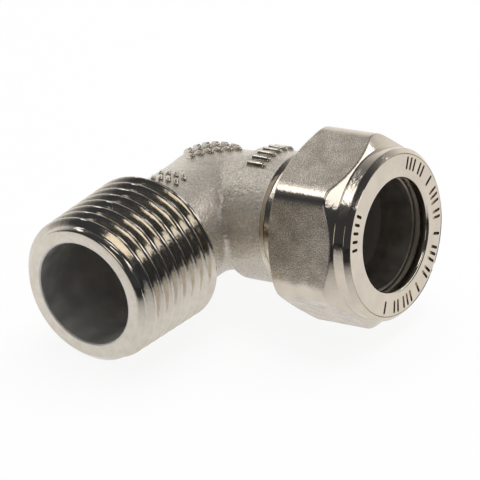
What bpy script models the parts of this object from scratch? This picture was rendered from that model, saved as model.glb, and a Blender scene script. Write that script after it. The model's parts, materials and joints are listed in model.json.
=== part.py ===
"""Right-angle compression fitting: an elbow with a taper pipe thread, a compression nut and its olive.

Metres, +Z up. The two bores cross at the assembly empty: the male arm points along -Y and the nut
along +X. The empty is placed so that the origin is the middle of the fitting's footprint.
"""

import math

import bmesh
import bpy
from mathutils import Matrix, Vector

# Tube and water way
TUBE_RADIUS = 0.0075
TUBE_CLEARANCE = 0.0001
WATERWAY_RADIUS = 0.0065
TUBE_STOP_RADIUS = 0.0063
SOCKET_DEPTH = 0.0139

# Elbow body, measured from the crossing of the bores
MALE_REACH = 0.02945
SPIGOT_REACH = 0.0229
ARM_WALL = 0.0016
NUT_ARM_SWELL = 0.00015
NUT_ARM_DRAFT = 0.00025
COLLAR_START = 0.0073
COLLAR_END = 0.01415
COLLAR_WALL = 0.0014
COLLAR_STEP = 0.0004
COLLAR_EDGE = 0.0002
GROOVE_WALL = 0.0009
MALE_BORE_RADIUS = 0.00717
MALE_BORE_DEPTH = 0.0150
BORE_EDGE = 0.00015

# Thread form shared by both male threads: 14 turns to the inch, 55 degree flanks
PITCH = 0.001814
FLANK_ANGLE = math.radians(27.5)
THREAD_DEPTH = 0.00105
THREAD_CREST = 0.0004
THREAD_BACK_ANGLE = math.radians(30)

# Taper pipe thread on the male arm
TAPER_CREST_RADIUS = 0.01037
TAPER_GAUGE = 0.0082
TAPER_RATE = 1 / 32
TAPER_LENGTH = 0.0148
END_RING_RADIUS = 0.0090
END_CHAMFER_ANGLE = math.radians(43)

# Parallel thread on the spigot, under the nut
SPIGOT_CREST_RADIUS = 0.01037
SPIGOT_THREAD_LENGTH = 0.0058
SPIGOT_LIP = 0.0005
SPIGOT_EDGE = 0.0002
SPIGOT_CHAMFER_ANGLE = math.radians(45)
SEAT_ANGLE = math.radians(30)

# Olive
OLIVE_WALL = 0.0011
OLIVE_EDGE = 0.00035
OLIVE_LENGTH = 0.0050

# Compression nut
NUT_LENGTH = 0.0122
NUT_SIDES = 6
NUT_FLATS = 0.0237
NUT_CORNER_RADIUS = 0.0030
NUT_CLOCKING = math.radians(17.1)
NUT_THROAT = 0.0013
NUT_MOUTH_CHAMFER = 0.0004
NUT_COLLAR_RADIUS = 0.0115
NUT_COLLAR_LENGTH = 0.0024
NUT_COLLAR_CHAMFER = 0.0006
NUT_GROOVE_WIDTH = 0.0002
NUT_GROOVE_DEPTH = 0.00015
NUT_CONE_STEP = 0.0003
NUT_CONE_ANGLE = math.radians(55)
NUT_BACK_ANGLE = math.radians(30)
NUT_THREAD_LAND = 0.00012
NUT_RELIEF_LENGTH = 0.0012
NUT_ENTRY = 0.0002

# Fits
SEAT_GAP = 0.0003
THREAD_GAP = 0.00025

# Mesh fineness
SEGMENTS = 48
CORNER_STEPS = 6
DOME_STEPS = 10
BALL_STEPS = 6
MARGIN = 0.001
OVERLAP = 0.00005
WELD = 0.000001
SPARE_TURNS = 3
SHARP_ANGLE = math.radians(30)

# Sizes that follow from the ones above
SOCKET_RADIUS = TUBE_RADIUS + TUBE_CLEARANCE
ARM_RADIUS = WATERWAY_RADIUS + ARM_WALL
NUT_ARM_RADIUS = ARM_RADIUS + NUT_ARM_SWELL
COLLAR_RADIUS = SOCKET_RADIUS + COLLAR_WALL
GROOVE_RADIUS = SOCKET_RADIUS + GROOVE_WALL
TAPER_BACK = MALE_REACH - TAPER_LENGTH
SPIGOT_ROOT_RADIUS = SPIGOT_CREST_RADIUS - THREAD_DEPTH
SPIGOT_BACK = SPIGOT_REACH - SPIGOT_THREAD_LENGTH
MOUTH_RADIUS = SPIGOT_ROOT_RADIUS - SPIGOT_LIP
SEAT_RUN = 1 / math.tan(SEAT_ANGLE)
SEAT_SHIFT = SEAT_GAP / math.sin(SEAT_ANGLE)
OLIVE_RADIUS = SOCKET_RADIUS + OLIVE_WALL
OLIVE_END_RADIUS = SOCKET_RADIUS + OLIVE_EDGE
OLIVE_TAPER_LENGTH = (OLIVE_RADIUS - OLIVE_END_RADIUS) * SEAT_RUN
OLIVE_BACK = SPIGOT_REACH - (MOUTH_RADIUS - OLIVE_END_RADIUS) * SEAT_RUN + SEAT_SHIFT
OLIVE_FRONT = OLIVE_BACK + OLIVE_LENGTH
THROAT_BACK = OLIVE_FRONT + (OLIVE_END_RADIUS - SOCKET_RADIUS) * SEAT_RUN + SEAT_SHIFT
HALF_SIDE_ANGLE = math.pi / NUT_SIDES
NUT_SHARP_RADIUS = NUT_FLATS / 2 / math.cos(HALF_SIDE_ANGLE)
NUT_FRONT = THROAT_BACK + NUT_THROAT
NUT_BACK = NUT_FRONT - NUT_LENGTH
FLANK_GROWTH = THREAD_GAP / math.cos(FLANK_ANGLE)
NUT_GROOVE_RADIUS = SPIGOT_CREST_RADIUS + THREAD_GAP
NUT_TOOTH_BASE = PITCH - THREAD_CREST - 2 * FLANK_GROWTH
NUT_TOOTH_HEIGHT = (NUT_TOOTH_BASE - NUT_THREAD_LAND) / (2 * math.tan(FLANK_ANGLE))
NUT_BORE_RADIUS = SPIGOT_CREST_RADIUS - NUT_TOOTH_HEIGHT
NUT_SEAT_BACK = THROAT_BACK - (NUT_BORE_RADIUS - SOCKET_RADIUS) * SEAT_RUN
NUT_RELIEF_BACK = NUT_SEAT_BACK - NUT_RELIEF_LENGTH

ALONG_MALE_ARM = Matrix.Rotation(math.radians(90), 4, "X")
ALONG_NUT_ARM = Matrix.Rotation(math.radians(90), 4, "Y")
HALF_SEGMENT = Matrix.Rotation(math.pi / SEGMENTS, 4, "Z")
QUARTER_SEGMENT = Matrix.Rotation(math.pi / SEGMENTS / 2, 4, "Z")


def clear_scene():
    for old in list(bpy.data.objects):
        bpy.data.objects.remove(old, do_unlink=True)


def new_collection(name):
    collection = bpy.data.collections.new(name)
    bpy.context.scene.collection.children.link(collection)
    return collection


def metal(name, colour, roughness):
    material = bpy.data.materials.new(name)
    material.use_nodes = True
    shader = material.node_tree.nodes["Principled BSDF"]
    shader.inputs["Base Color"].default_value = (*colour, 1.0)
    shader.inputs["Metallic"].default_value = 1.0
    shader.inputs["Roughness"].default_value = roughness
    return material


def add_object(name, mesh, collection):
    item = bpy.data.objects.new(name, mesh)
    collection.objects.link(item)
    return item


def as_tool(item, direction):
    """Turn an object into a hidden tool that stands along one arm of the fitting."""
    item.matrix_world = direction
    item.hide_render = True
    item.display_type = "WIRE"
    return item


def combine(target, operation, tool):
    modifier = target.modifiers.new(f"{operation.lower()} {tool.name}", "BOOLEAN")
    modifier.operation = operation
    modifier.object = tool
    modifier.solver = "EXACT"


def arc(radius, height, size, start, end, steps):
    """Points on a circle of the given size round (radius, height), angles in degrees."""
    points = []
    for step in range(steps + 1):
        angle = math.radians(start + (end - start) * step / steps)
        points.append((radius + size * math.cos(angle), height + size * math.sin(angle)))
    return points


def turned(name, outline, collection, closed=False):
    """A turned shape from (radius, height) points that run down its outer side."""
    mesh = bpy.data.meshes.new(name)
    points = [(radius, 0.0, height) for radius, height in outline]
    edges = [(index, index + 1) for index in range(len(points) - 1)]
    if closed:
        edges.append((len(points) - 1, 0))
    mesh.from_pydata(points, edges, [])
    item = add_object(name, mesh, collection)
    screw = item.modifiers.new("turn", "SCREW")
    screw.steps = SEGMENTS
    screw.render_steps = SEGMENTS
    screw.use_merge_vertices = True
    screw.merge_threshold = WELD
    screw.use_smooth_shade = True
    return item


def thread_rod(name, crest_radius, root_radius, crest, start, turns, collection,
               taper_rate=0.0, gauge=0.0):
    """A rod with a right-hand thread, tapered about the gauge height, with a crest at the start."""
    half_crest = crest / 2
    half_base = half_crest + (crest_radius - root_radius) * math.tan(FLANK_ANGLE)
    section = [(root_radius, -half_base), (crest_radius, -half_crest), (crest_radius, half_crest),
               (root_radius, half_base), (root_radius, PITCH - half_base)]
    rod = bmesh.new()
    points = [rod.verts.new((radius, 0.0, start + offset)) for radius, offset in section]
    edges = [rod.edges.new(pair) for pair in zip(points, points[1:])]
    bmesh.ops.spin(rod, geom=points + edges, axis=(0, 0, 1), cent=(0, 0, 0), steps=turns * SEGMENTS,
                   dvec=(0, 0, PITCH / SEGMENTS), angle=2 * math.pi * turns)
    bmesh.ops.remove_doubles(rod, verts=rod.verts, dist=WELD)
    for vertex in rod.verts:
        scale = 1 + taper_rate * (gauge - vertex.co.z) / vertex.co.xy.length
        vertex.co.x *= scale
        vertex.co.y *= scale
    middle = start + turns * PITCH / 2
    rim = [edge for edge in rod.edges if edge.is_boundary]
    low_rim = [edge for edge in rim if edge.verts[0].co.z < middle]
    high_rim = [edge for edge in rim if edge.verts[0].co.z > middle]
    close_to_point(rod, low_rim, (0, 0, start - PITCH))
    close_to_point(rod, high_rim, (0, 0, start + (turns + 2) * PITCH))
    bmesh.ops.recalc_face_normals(rod, faces=rod.faces)
    mesh = bpy.data.meshes.new(name)
    rod.to_mesh(mesh)
    rod.free()
    return add_object(name, mesh, collection)


def close_to_point(mesh, rim, point):
    """Close a rim with a fan of faces to one point."""
    extruded = bmesh.ops.extrude_edge_only(mesh, edges=rim)["geom"]
    tips = [item for item in extruded if isinstance(item, bmesh.types.BMVert)]
    bmesh.ops.pointmerge(mesh, verts=tips, merge_co=point)


def taper_thread(tools):
    """The pipe thread: a tapered threaded rod, trimmed by a chamfered envelope."""
    gauge = MALE_REACH - TAPER_GAUGE
    turns = math.ceil(TAPER_LENGTH / PITCH) + 2 * SPARE_TURNS
    start = TAPER_BACK - SPARE_TURNS * PITCH
    rod = thread_rod("taper thread", TAPER_CREST_RADIUS, TAPER_CREST_RADIUS - THREAD_DEPTH, THREAD_CREST,
                     start, turns, tools, TAPER_RATE, gauge)
    outer = TAPER_CREST_RADIUS + TAPER_RATE * TAPER_LENGTH + MARGIN
    inner = ARM_RADIUS - ARM_WALL / 2
    envelope = thread_envelope("taper envelope", MALE_REACH, END_RING_RADIUS, END_CHAMFER_ANGLE,
                               TAPER_BACK, outer, inner, ALONG_MALE_ARM, tools)
    combine(rod, "INTERSECT", envelope)
    return as_tool(rod, ALONG_MALE_ARM)


def spigot_thread(tools):
    """The parallel thread that the nut runs on."""
    turns = math.ceil(SPIGOT_THREAD_LENGTH / PITCH) + 2 * SPARE_TURNS
    start = SPIGOT_REACH - (turns - SPARE_TURNS) * PITCH
    rod = thread_rod("spigot thread", SPIGOT_CREST_RADIUS, SPIGOT_ROOT_RADIUS, THREAD_CREST,
                     start, turns, tools)
    outer = SPIGOT_CREST_RADIUS + MARGIN
    inner = GROOVE_RADIUS - GROOVE_WALL / 2
    envelope = thread_envelope("spigot envelope", SPIGOT_REACH, SPIGOT_ROOT_RADIUS - SPIGOT_EDGE,
                               SPIGOT_CHAMFER_ANGLE, SPIGOT_BACK, outer, inner, ALONG_NUT_ARM, tools)
    combine(rod, "INTERSECT", envelope)
    return as_tool(rod, ALONG_NUT_ARM)


def thread_envelope(name, top, top_radius, chamfer_angle, back, outer, inner, direction, tools):
    """A turned block that trims a thread to a chamfer at its end and a slope at its back."""
    chamfer_length = (outer - top_radius) / math.tan(chamfer_angle)
    slope = (outer - inner) * math.tan(THREAD_BACK_ANGLE)
    outline = [(0.0, top), (top_radius, top), (outer, top - chamfer_length), (outer, back),
               (inner, back - slope), (0.0, back - slope)]
    return as_tool(turned(name, outline, tools), direction @ HALF_SEGMENT)


def nut_arm(tools):
    """The arm under the nut: it leaves the bend, steps up to a collar and ends in a thread groove."""
    top = SPIGOT_BACK + MARGIN
    outline = [(0.0, top), (GROOVE_RADIUS, top), (GROOVE_RADIUS, COLLAR_END),
               (COLLAR_RADIUS - COLLAR_EDGE, COLLAR_END), (COLLAR_RADIUS, COLLAR_END - COLLAR_EDGE),
               (COLLAR_RADIUS, COLLAR_START + COLLAR_STEP), (NUT_ARM_RADIUS, COLLAR_START),
               (NUT_ARM_RADIUS - NUT_ARM_DRAFT, -MARGIN / 2), (0.0, -MARGIN / 2)]
    return as_tool(turned("nut arm", outline, tools), ALONG_NUT_ARM @ QUARTER_SEGMENT)


def male_bore(tools):
    """The bore from the male end, narrowing to the water way and ending in a ball at the bend."""
    step = MALE_BORE_RADIUS - WATERWAY_RADIUS
    floor = MALE_REACH - MALE_BORE_DEPTH
    outline = [(0.0, MALE_REACH + MARGIN), (MALE_BORE_RADIUS + BORE_EDGE + MARGIN, MALE_REACH + MARGIN),
               (MALE_BORE_RADIUS, MALE_REACH - BORE_EDGE), (MALE_BORE_RADIUS, floor),
               (WATERWAY_RADIUS, floor - step)]
    outline += arc(0.0, 0.0, WATERWAY_RADIUS, 0, -90, BALL_STEPS)[:-1]
    outline.append((0.0, -WATERWAY_RADIUS))
    return as_tool(turned("male bore", outline, tools), ALONG_MALE_ARM)


def tube_socket(tools):
    """The socket for the tube: a conical seat for the olive, the socket and the tube stop."""
    top_radius = MOUTH_RADIUS + MARGIN * math.tan(SEAT_ANGLE)
    stop = SPIGOT_REACH - SOCKET_DEPTH
    seat_floor = SPIGOT_REACH - (MOUTH_RADIUS - SOCKET_RADIUS) * SEAT_RUN
    outline = [(0.0, SPIGOT_REACH + MARGIN), (top_radius, SPIGOT_REACH + MARGIN),
               (SOCKET_RADIUS, seat_floor), (SOCKET_RADIUS, stop), (TUBE_STOP_RADIUS, stop),
               (TUBE_STOP_RADIUS, -MARGIN / 2), (0.0, -MARGIN / 2)]
    return as_tool(turned("tube socket", outline, tools), ALONG_NUT_ARM @ QUARTER_SEGMENT)


def elbow_body(parts, tools):
    """The forged elbow: a neck with a domed back, the two threads, the nut arm and the bores."""
    dome = arc(0.0, 0.0, ARM_RADIUS, 0, -90, DOME_STEPS)[:-1]
    outline = [(0.0, TAPER_BACK + MARGIN), (ARM_RADIUS, TAPER_BACK + MARGIN)]
    outline += dome + [(0.0, -ARM_RADIUS)]
    body = turned("elbow_body", outline, parts)
    body.matrix_world = ALONG_MALE_ARM
    combine(body, "UNION", nut_arm(tools))
    combine(body, "UNION", spigot_thread(tools))
    combine(body, "UNION", taper_thread(tools))
    combine(body, "DIFFERENCE", male_bore(tools))
    combine(body, "DIFFERENCE", tube_socket(tools))
    body.data.materials.append(metal("nickel plated brass", (0.60, 0.57, 0.53), 0.30))
    return body


def olive(parts):
    """The compression ring: a sleeve with a cone at each end."""
    outline = [(OLIVE_END_RADIUS, OLIVE_FRONT), (OLIVE_RADIUS, OLIVE_FRONT - OLIVE_TAPER_LENGTH),
               (OLIVE_RADIUS, OLIVE_BACK + OLIVE_TAPER_LENGTH), (OLIVE_END_RADIUS, OLIVE_BACK),
               (SOCKET_RADIUS, OLIVE_BACK), (SOCKET_RADIUS, OLIVE_FRONT)]
    ring = turned("olive", outline, parts, closed=True)
    ring.matrix_world = ALONG_NUT_ARM
    ring.data.materials.append(metal("bare brass", (0.78, 0.58, 0.28), 0.28))
    return ring


def hexagon(name, collection):
    """A six-sided bar with rounded corners, longer than the nut at both ends."""
    bar = bmesh.new()
    length = NUT_LENGTH + 2 * MARGIN
    place = Matrix.Translation((0, 0, (NUT_BACK + NUT_FRONT) / 2)) @ Matrix.Rotation(NUT_CLOCKING, 4, "Z")
    bmesh.ops.create_cone(bar, cap_ends=True, segments=NUT_SIDES, radius1=NUT_SHARP_RADIUS,
                          radius2=NUT_SHARP_RADIUS, depth=length)
    corners = [edge for edge in bar.edges if abs(edge.verts[0].co.z - edge.verts[1].co.z) > length / 2]
    bmesh.ops.bevel(bar, geom=corners, affect="EDGES", segments=CORNER_STEPS, profile=0.5,
                    offset_type="OFFSET", offset=NUT_CORNER_RADIUS * math.tan(HALF_SIDE_ANGLE))
    bmesh.ops.transform(bar, verts=bar.verts, matrix=place)
    mesh = bpy.data.meshes.new(name)
    bar.to_mesh(mesh)
    bar.free()
    return add_object(name, mesh, collection)


def nut_outside(tools):
    """The turned outline of the nut: chamfered collar, groove, chamfer cone and back chamfer."""
    outer = NUT_SHARP_RADIUS + MARGIN
    flat = NUT_FLATS / 2
    groove_back = NUT_FRONT - NUT_COLLAR_LENGTH
    groove_front = groove_back + NUT_GROOVE_WIDTH
    groove_radius = NUT_COLLAR_RADIUS - NUT_GROOVE_DEPTH
    cone_radius = NUT_COLLAR_RADIUS + NUT_CONE_STEP
    cone_back = groove_back - (outer - cone_radius) / math.tan(NUT_CONE_ANGLE)
    back_chamfer = (outer - flat) * math.tan(NUT_BACK_ANGLE)
    outline = [(0.0, NUT_FRONT), (NUT_COLLAR_RADIUS - NUT_COLLAR_CHAMFER, NUT_FRONT),
               (NUT_COLLAR_RADIUS, NUT_FRONT - NUT_COLLAR_CHAMFER), (NUT_COLLAR_RADIUS, groove_front),
               (groove_radius, groove_front), (groove_radius, groove_back), (cone_radius, groove_back),
               (outer, cone_back), (outer, NUT_BACK + back_chamfer), (flat, NUT_BACK), (0.0, NUT_BACK)]
    return as_tool(turned("nut outside", outline, tools), ALONG_NUT_ARM)


def nut_inside(tools):
    """The nut's bore: mouth chamfer, throat, conical seat and thread relief."""
    relief_radius = NUT_GROOVE_RADIUS + OVERLAP
    mouth = SOCKET_RADIUS + NUT_MOUTH_CHAMFER
    outline = [(0.0, NUT_FRONT + MARGIN), (mouth + MARGIN, NUT_FRONT + MARGIN),
               (SOCKET_RADIUS, NUT_FRONT - NUT_MOUTH_CHAMFER), (SOCKET_RADIUS, THROAT_BACK),
               (NUT_BORE_RADIUS, NUT_SEAT_BACK), (relief_radius, NUT_SEAT_BACK),
               (relief_radius, NUT_RELIEF_BACK), (0.0, NUT_RELIEF_BACK)]
    return as_tool(turned("nut inside", outline, tools), ALONG_NUT_ARM @ HALF_SEGMENT)


def nut_entry(tools):
    """The chamfer that leads the spigot into the nut's thread."""
    lead = NUT_GROOVE_RADIUS + NUT_ENTRY
    outline = [(0.0, NUT_BACK + lead), (lead + MARGIN, NUT_BACK - MARGIN), (0.0, NUT_BACK - MARGIN)]
    return as_tool(turned("nut entry", outline, tools), ALONG_NUT_ARM @ HALF_SEGMENT)


def nut_thread(tools):
    """The spigot's thread grown by the thread gap, in step with it, as a cutter for the nut."""
    back_turns = math.ceil((SPIGOT_REACH - NUT_BACK) / PITCH) + SPARE_TURNS
    start = SPIGOT_REACH - back_turns * PITCH
    crest = THREAD_CREST + 2 * FLANK_GROWTH - 2 * THREAD_GAP * math.tan(FLANK_ANGLE)
    rod = thread_rod("nut thread", NUT_GROOVE_RADIUS, NUT_BORE_RADIUS, crest,
                     start, back_turns + SPARE_TURNS, tools)
    outer = NUT_GROOVE_RADIUS + MARGIN
    high = (NUT_RELIEF_BACK + NUT_SEAT_BACK) / 2
    low = NUT_BACK - MARGIN
    block = turned("nut thread block", [(0.0, high), (outer, high), (outer, low), (0.0, low)], tools)
    combine(rod, "INTERSECT", as_tool(block, ALONG_NUT_ARM @ HALF_SEGMENT))
    return as_tool(rod, ALONG_NUT_ARM)


def compression_nut(parts, tools):
    """The hexagonal nut, turned to a collar at its front and threaded inside."""
    nut = hexagon("compression_nut", parts)
    nut.matrix_world = ALONG_NUT_ARM
    combine(nut, "INTERSECT", nut_outside(tools))
    combine(nut, "DIFFERENCE", nut_inside(tools))
    combine(nut, "DIFFERENCE", nut_thread(tools))
    combine(nut, "DIFFERENCE", nut_entry(tools))
    nut.data.materials.append(metal("nickel plated nut", (0.62, 0.59, 0.55), 0.26))
    return nut


def shade(item):
    item.data.shade_smooth()
    item.data.set_sharp_from_angle(angle=SHARP_ANGLE)


def stand_on_origin(assembly, pieces):
    """Move the assembly so that the origin is the middle of its footprint."""
    bpy.context.view_layer.update()
    depsgraph = bpy.context.evaluated_depsgraph_get()
    corners = []
    for piece in pieces:
        evaluated = piece.evaluated_get(depsgraph)
        corners += [piece.matrix_world @ vertex.co for vertex in evaluated.data.vertices]
    low = Vector([min(corner[axis] for corner in corners) for axis in range(3)])
    high = Vector([max(corner[axis] for corner in corners) for axis in range(3)])
    assembly.location = -Vector(((low.x + high.x) / 2, (low.y + high.y) / 2, low.z))


def main():
    clear_scene()
    parts = new_collection("compression_fitting")
    tools = new_collection("cutters")
    pieces = [elbow_body(parts, tools), olive(parts), compression_nut(parts, tools)]
    assembly = add_object("assembly", None, parts)
    for piece in pieces:
        shade(piece)
    stand_on_origin(assembly, pieces)
    for item in pieces + list(tools.objects):
        item.parent = assembly


main()
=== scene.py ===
"""Looks of a right-angle compression fitting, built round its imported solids.

Metres, +Z up. Each turned shape is modelled along its own axis and then laid along its arm of the
fitting: the male arm points along -Y from the crossing of the bores, and the nut along +X.
"""

import json
import math

import bpy
import numpy as np
from mathutils import Matrix, Vector

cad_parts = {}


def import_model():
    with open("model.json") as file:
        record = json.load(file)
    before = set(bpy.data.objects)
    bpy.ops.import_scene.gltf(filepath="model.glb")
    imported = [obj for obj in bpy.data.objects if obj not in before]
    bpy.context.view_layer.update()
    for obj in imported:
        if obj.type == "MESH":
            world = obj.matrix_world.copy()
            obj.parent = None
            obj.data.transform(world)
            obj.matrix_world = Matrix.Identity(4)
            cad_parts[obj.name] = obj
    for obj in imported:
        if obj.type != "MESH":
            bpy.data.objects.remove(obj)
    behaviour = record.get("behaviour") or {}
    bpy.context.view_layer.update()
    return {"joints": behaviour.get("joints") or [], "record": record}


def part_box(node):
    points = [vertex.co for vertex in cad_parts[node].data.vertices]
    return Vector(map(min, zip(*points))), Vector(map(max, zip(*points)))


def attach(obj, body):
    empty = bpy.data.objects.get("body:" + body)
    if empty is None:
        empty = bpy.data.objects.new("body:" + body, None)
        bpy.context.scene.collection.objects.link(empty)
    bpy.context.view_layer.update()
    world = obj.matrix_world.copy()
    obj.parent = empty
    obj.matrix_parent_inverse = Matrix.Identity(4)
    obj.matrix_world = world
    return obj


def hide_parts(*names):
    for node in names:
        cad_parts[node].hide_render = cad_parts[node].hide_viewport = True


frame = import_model()

# Places that the frame gives, measured from the crossing of the bores
JOINTS = {joint["name"]: joint for joint in frame["joints"]}
CROSSING = Vector(JOINTS["nut_turn"]["pos_m"])
PITCH = frame["record"]["behaviour"]["couplings"][0]["ratio"] * 2 * math.pi
BODY_LOW, BODY_HIGH = [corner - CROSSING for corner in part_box("elbow_body")]
NUT_LOW, NUT_HIGH = [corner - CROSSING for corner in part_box("compression_nut")]
OLIVE_LOW, OLIVE_HIGH = [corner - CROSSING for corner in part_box("olive")]
MALE_REACH = -BODY_LOW.y
SPIGOT_REACH = BODY_HIGH.x
NUT_BACK, NUT_FRONT = NUT_LOW.x, NUT_HIGH.x
OLIVE_BACK, OLIVE_FRONT = OLIVE_LOW.x, OLIVE_HIGH.x

# Body
SOCKET_RADIUS = 0.0076
SOCKET_DEPTH = 0.0139
WATERWAY_RADIUS = 0.0065
TUBE_STOP_RADIUS = 0.0063
ARM_RADIUS = 0.0081
NUT_ARM_RADIUS = 0.00825
NUT_ARM_DRAFT = 0.00025
COLLAR_RADIUS = 0.0090
COLLAR_START = 0.0073
COLLAR_END = 0.01415
COLLAR_EDGE = 0.0004
COLLAR_FILLET = 0.00015
GROOVE_RADIUS = 0.0085
FORGING_FILLET = 0.0009
MALE_BORE_RADIUS = 0.00717
MALE_BORE_DEPTH = 0.0150
BORE_EDGE = 0.00025

# Raised bars on the forging, with places seen from above and measured from the crossing of the bores
BAR_POINTS = 24
BAR_HALF_WIDTH = 0.0004
BAR_HEIGHT = 0.00055
BAR_SINK = 0.0006
BAR_ROUND_STEPS = 6
SKIN_STEPS = 24
PAD_BAR_LENGTH = 0.0008
PAD_SLANT = math.radians(35)
CROWN_CENTRE = (0.0, 0.0010)
CROWN_TURN = math.radians(44)
CROWN_ROWS = 3
CROWN_ROW_STEP = 0.00175
CROWN_BARS = 6
CROWN_STEP = 0.0013
NECK_CENTRE = (0.0001, -0.0092)
NECK_ROWS = 2
NECK_ROW_STEP = 0.00175
NECK_BARS = 4
NECK_STEP = 0.0013
COLLAR_MARK_CENTRE = (0.0101, 0.0004)
COLLAR_MARK_LENGTH = 0.0024
COLLAR_MARK_STEP = 0.0013
COLLAR_MARK_BARS = 6

# Threads
FLANK_SLOPE = math.tan(math.radians(27.5))
THREAD_DEPTH = 0.00105
THREAD_CREST = 0.00025
THREAD_CREST_ROUNDING = 0.00014
THREAD_ROOT_ROUNDING = 0.00035
THREAD_ROUNDING = 0.00016
THREAD_BACK_SLOPE = math.tan(math.radians(30))
TAPER_CREST_RADIUS = 0.01037
TAPER_GAUGE = 0.0082
TAPER_RATE = 1 / 32
TAPER_LENGTH = 0.0148
END_RING_RADIUS = 0.0090
END_CHAMFER_ANGLE = math.radians(43)
END_EDGE = 0.0006
SPIGOT_CREST_RADIUS = 0.01037
SPIGOT_THREAD_LENGTH = 0.0058
SPIGOT_LIP = 0.0005
SPIGOT_EDGE = 0.0002
SEAT_SLOPE = math.tan(math.radians(30))

# Nut
NUT_SIDES = 6
NUT_HALF_SIDE = math.pi / NUT_SIDES
NUT_FLATS = 0.0237
NUT_CLOCKING = math.radians(17.1)
NUT_THROAT = 0.0013
NUT_MOUTH_EDGE = 0.00045
NUT_COLLAR_RADIUS = 0.0115
NUT_COLLAR_LENGTH = 0.0022
NUT_COLLAR_CHAMFER = 0.0006
NUT_COLLAR_EDGE = 0.00012
NUT_COLLAR_CREASE = 0.00012
NUT_LINE_WIDTH = 0.00016
NUT_LINE_DEPTH = 0.00014
NUT_CONE_SLOPE = math.tan(math.radians(50))
NUT_EDGE = 0.00016
NUT_BORE_RADIUS = 0.009669
NUT_GROOVE_RADIUS = 0.01062
NUT_RELIEF_RADIUS = 0.01067
NUT_RELIEF_LENGTH = 0.0012
NUT_ENTRY_RADIUS = 0.01082
NUT_THREAD_CREST = 0.00070
NUT_FLAT_BLEND = 0.00015

# Bars pressed into the nut's face, counting one, two and three over and over, with small ones opposite
FACE_BAR_HALF_WIDTH = 0.0002
FACE_BAR_DEPTH = 0.00045
FACE_BAR_RADII = (0.0089, 0.0103)
FACE_BAR_STEP = math.radians(5.2)
FACE_GROUPS = 12
FACE_GROUP_START = math.radians(-28)
FACE_GROUP_STEP = math.radians(16)
FACE_COUNTS = 3
SMALL_BAR_RADII = (0.0093, 0.0101)
SMALL_BARS = 5
SMALL_BAR_START = math.radians(-128)
SMALL_BAR_STEP = math.radians(6.5)

# The rounding that lets the highest corner of the hexagon just reach the top of the nut's box
NUT_CORNER_LEAN = math.cos(NUT_CLOCKING - NUT_HALF_SIDE) / math.cos(NUT_HALF_SIDE)
NUT_CORNER_RADIUS = (NUT_FLATS / 2 * NUT_CORNER_LEAN - NUT_HIGH.z) / (NUT_CORNER_LEAN - 1)

# Olive
OLIVE_WALL = 0.0011
OLIVE_EDGE = 0.00035

# Mesh fineness
COLUMNS = 288
ROW = 0.00008
EDGE_STEPS = 8
DOME_STEPS = 40
POLE_GAP = 0.02
MARGIN = 0.001
FORGING_VOXEL = 0.00015
SETTLE_STEPS = 6
NUDGE = 0.000001
SHARP_ANGLE = math.radians(35)

# Metals: how far the blasted skins mirror, a dark and a light colour for each, and their roughness
FORGED_SHINE = 0.62
FLAT_SHINE = 0.85
FORGED_COLOURS = ((0.58, 0.53, 0.46), (0.67, 0.615, 0.535))
TURNED_COLOURS = ((0.60, 0.55, 0.47), (0.68, 0.63, 0.56))
NUT_COLOURS = ((0.52, 0.46, 0.385), (0.74, 0.665, 0.57))
# The male bore's and the nut bore's colours are lifted above the plating's own: painted light on their dim
# insides
MALE_BORE_PAINTED_LIGHT_COLOURS = ((0.62, 0.61, 0.60), (0.76, 0.74, 0.71))
SOCKET_COLOURS = ((0.31, 0.295, 0.275), (0.38, 0.36, 0.335))
NUT_BORE_PAINTED_LIGHT_COLOURS = ((0.78, 0.71, 0.62), (0.90, 0.83, 0.73))
OLIVE_COLOURS = ((0.48, 0.45, 0.41), (0.60, 0.565, 0.52))
BLASTED_ROUGHNESS = (0.20, 0.34)
TURNED_ROUGHNESS = (0.08, 0.14)
WORN_ROUGHNESS = 0.12
NUT_END_ROUGHNESS = 0.10
BORED_ROUGHNESS = (0.50, 0.65)
OLIVE_ROUGHNESS = (0.40, 0.55)

# Patterns in the metals: the size of their features, and the depth of their bumps
FORGED_GRAIN = 0.00035
FORGED_GRAIN_DEPTH = 0.0001
FORGED_MOTTLE = 0.0016
FORGED_MOTTLE_DEPTH = 0.00014
TURNED_STAIN = 0.0012
TURNED_WAVE = 0.0006
TURNED_LINES = 0.0002
TURNED_LINES_DEPTH = 0.000006
NUT_GRAIN = 0.0002
NUT_GRAIN_DEPTH = 0.00003
NUT_MOTTLE = 0.0022
NUT_END_MOTTLE_RANGE = (0.35, 0.65)
NUT_WAVE = 0.0005
NUT_LINES = 0.0002
NUT_LINES_DEPTH = 0.000003
WAVE_DEPTH = 0.000012
BORED_STAIN = 0.002
BORED_LINES = 0.0003
OLIVE_STAIN = 0.0015
OLIVE_LINES = 0.00015
BORED_LINES_DEPTH = 0.000008
GRAIN_DETAIL = 3.0
MOTTLE_DETAIL = 2.0
LINES_DETAIL = 2.0
WAVE_DETAIL = 1.0
NOISE_RANGE = (0.3, 0.7)
ACROSS_MALE_ARM = (1, 0, 1)
ACROSS_NUT_ARM = (0, 1, 1)

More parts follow.
